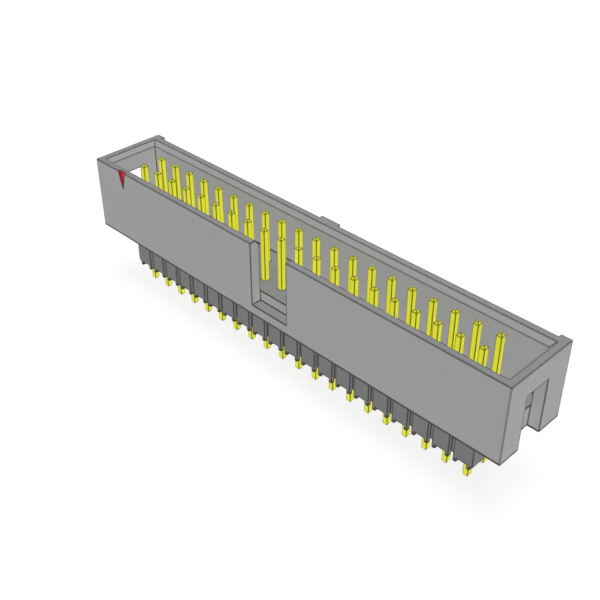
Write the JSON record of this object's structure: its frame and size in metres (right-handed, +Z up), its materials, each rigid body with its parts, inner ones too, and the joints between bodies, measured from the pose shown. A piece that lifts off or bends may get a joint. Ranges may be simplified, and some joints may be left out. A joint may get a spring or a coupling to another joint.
{
  "type": "pin header",
  "caption": "Straight two-row pin header in a keyed open-topped shroud with ribbed back, raised on a grooved spacer strip, with square gold pins and solder tails.",
  "frame": {"origin": "middle of the pin grid, on the board face that the spacer's feet stand on", "axes": "+X along the rows away from the marked end, +Y across from the keyed wall to the ribbed wall, +Z up out of the mouth"},
  "size_m": [0.0584, 0.0092, 0.0158],
  "materials": {
    "shroud_plastic": "moulded mid-grey plastic, fine matte grain",
    "spacer_plastic": "moulded dark grey plastic, fine matte grain",
    "pin_gold": "square wire, bright yellow gold flash, drawn and lightly satin",
    "mark_paint": "thin red paint brushed into a moulded recess"
  },
  "bodies": {
    "root": {"shroud": "shroud_plastic", "spacer": "spacer_plastic", "pin_01": "pin_gold", "pin_02": "pin_gold", "pin_03": "pin_gold", "pin_04": "pin_gold", "pin_05": "pin_gold", "pin_06": "pin_gold", "pin_07": "pin_gold", "pin_08": "pin_gold", "pin_09": "pin_gold", "pin_10": "pin_gold", "pin_11": "pin_gold", "pin_12": "pin_gold", "pin_13": "pin_gold", "pin_14": "pin_gold", "pin_15": "pin_gold", "pin_16": "pin_gold", "pin_17": "pin_gold", "pin_18": "pin_gold", "pin_19": "pin_gold", "pin_20": "pin_gold", "pin_21": "pin_gold", "pin_22": "pin_gold", "pin_23": "pin_gold", "pin_24": "pin_gold", "pin_25": "pin_gold", "pin_26": "pin_gold", "pin_27": "pin_gold", "pin_28": "pin_gold", "pin_29": "pin_gold", "pin_30": "pin_gold", "pin_31": "pin_gold", "pin_32": "pin_gold", "pin_33": "pin_gold", "pin_34": "pin_gold", "pin_35": "pin_gold", "pin_36": "pin_gold", "pin_37": "pin_gold", "pin_38": "pin_gold", "pin_39": "pin_gold", "pin_40": "pin_gold", "pin_1_mark": "mark_paint"}
  },
  "joints": []
}
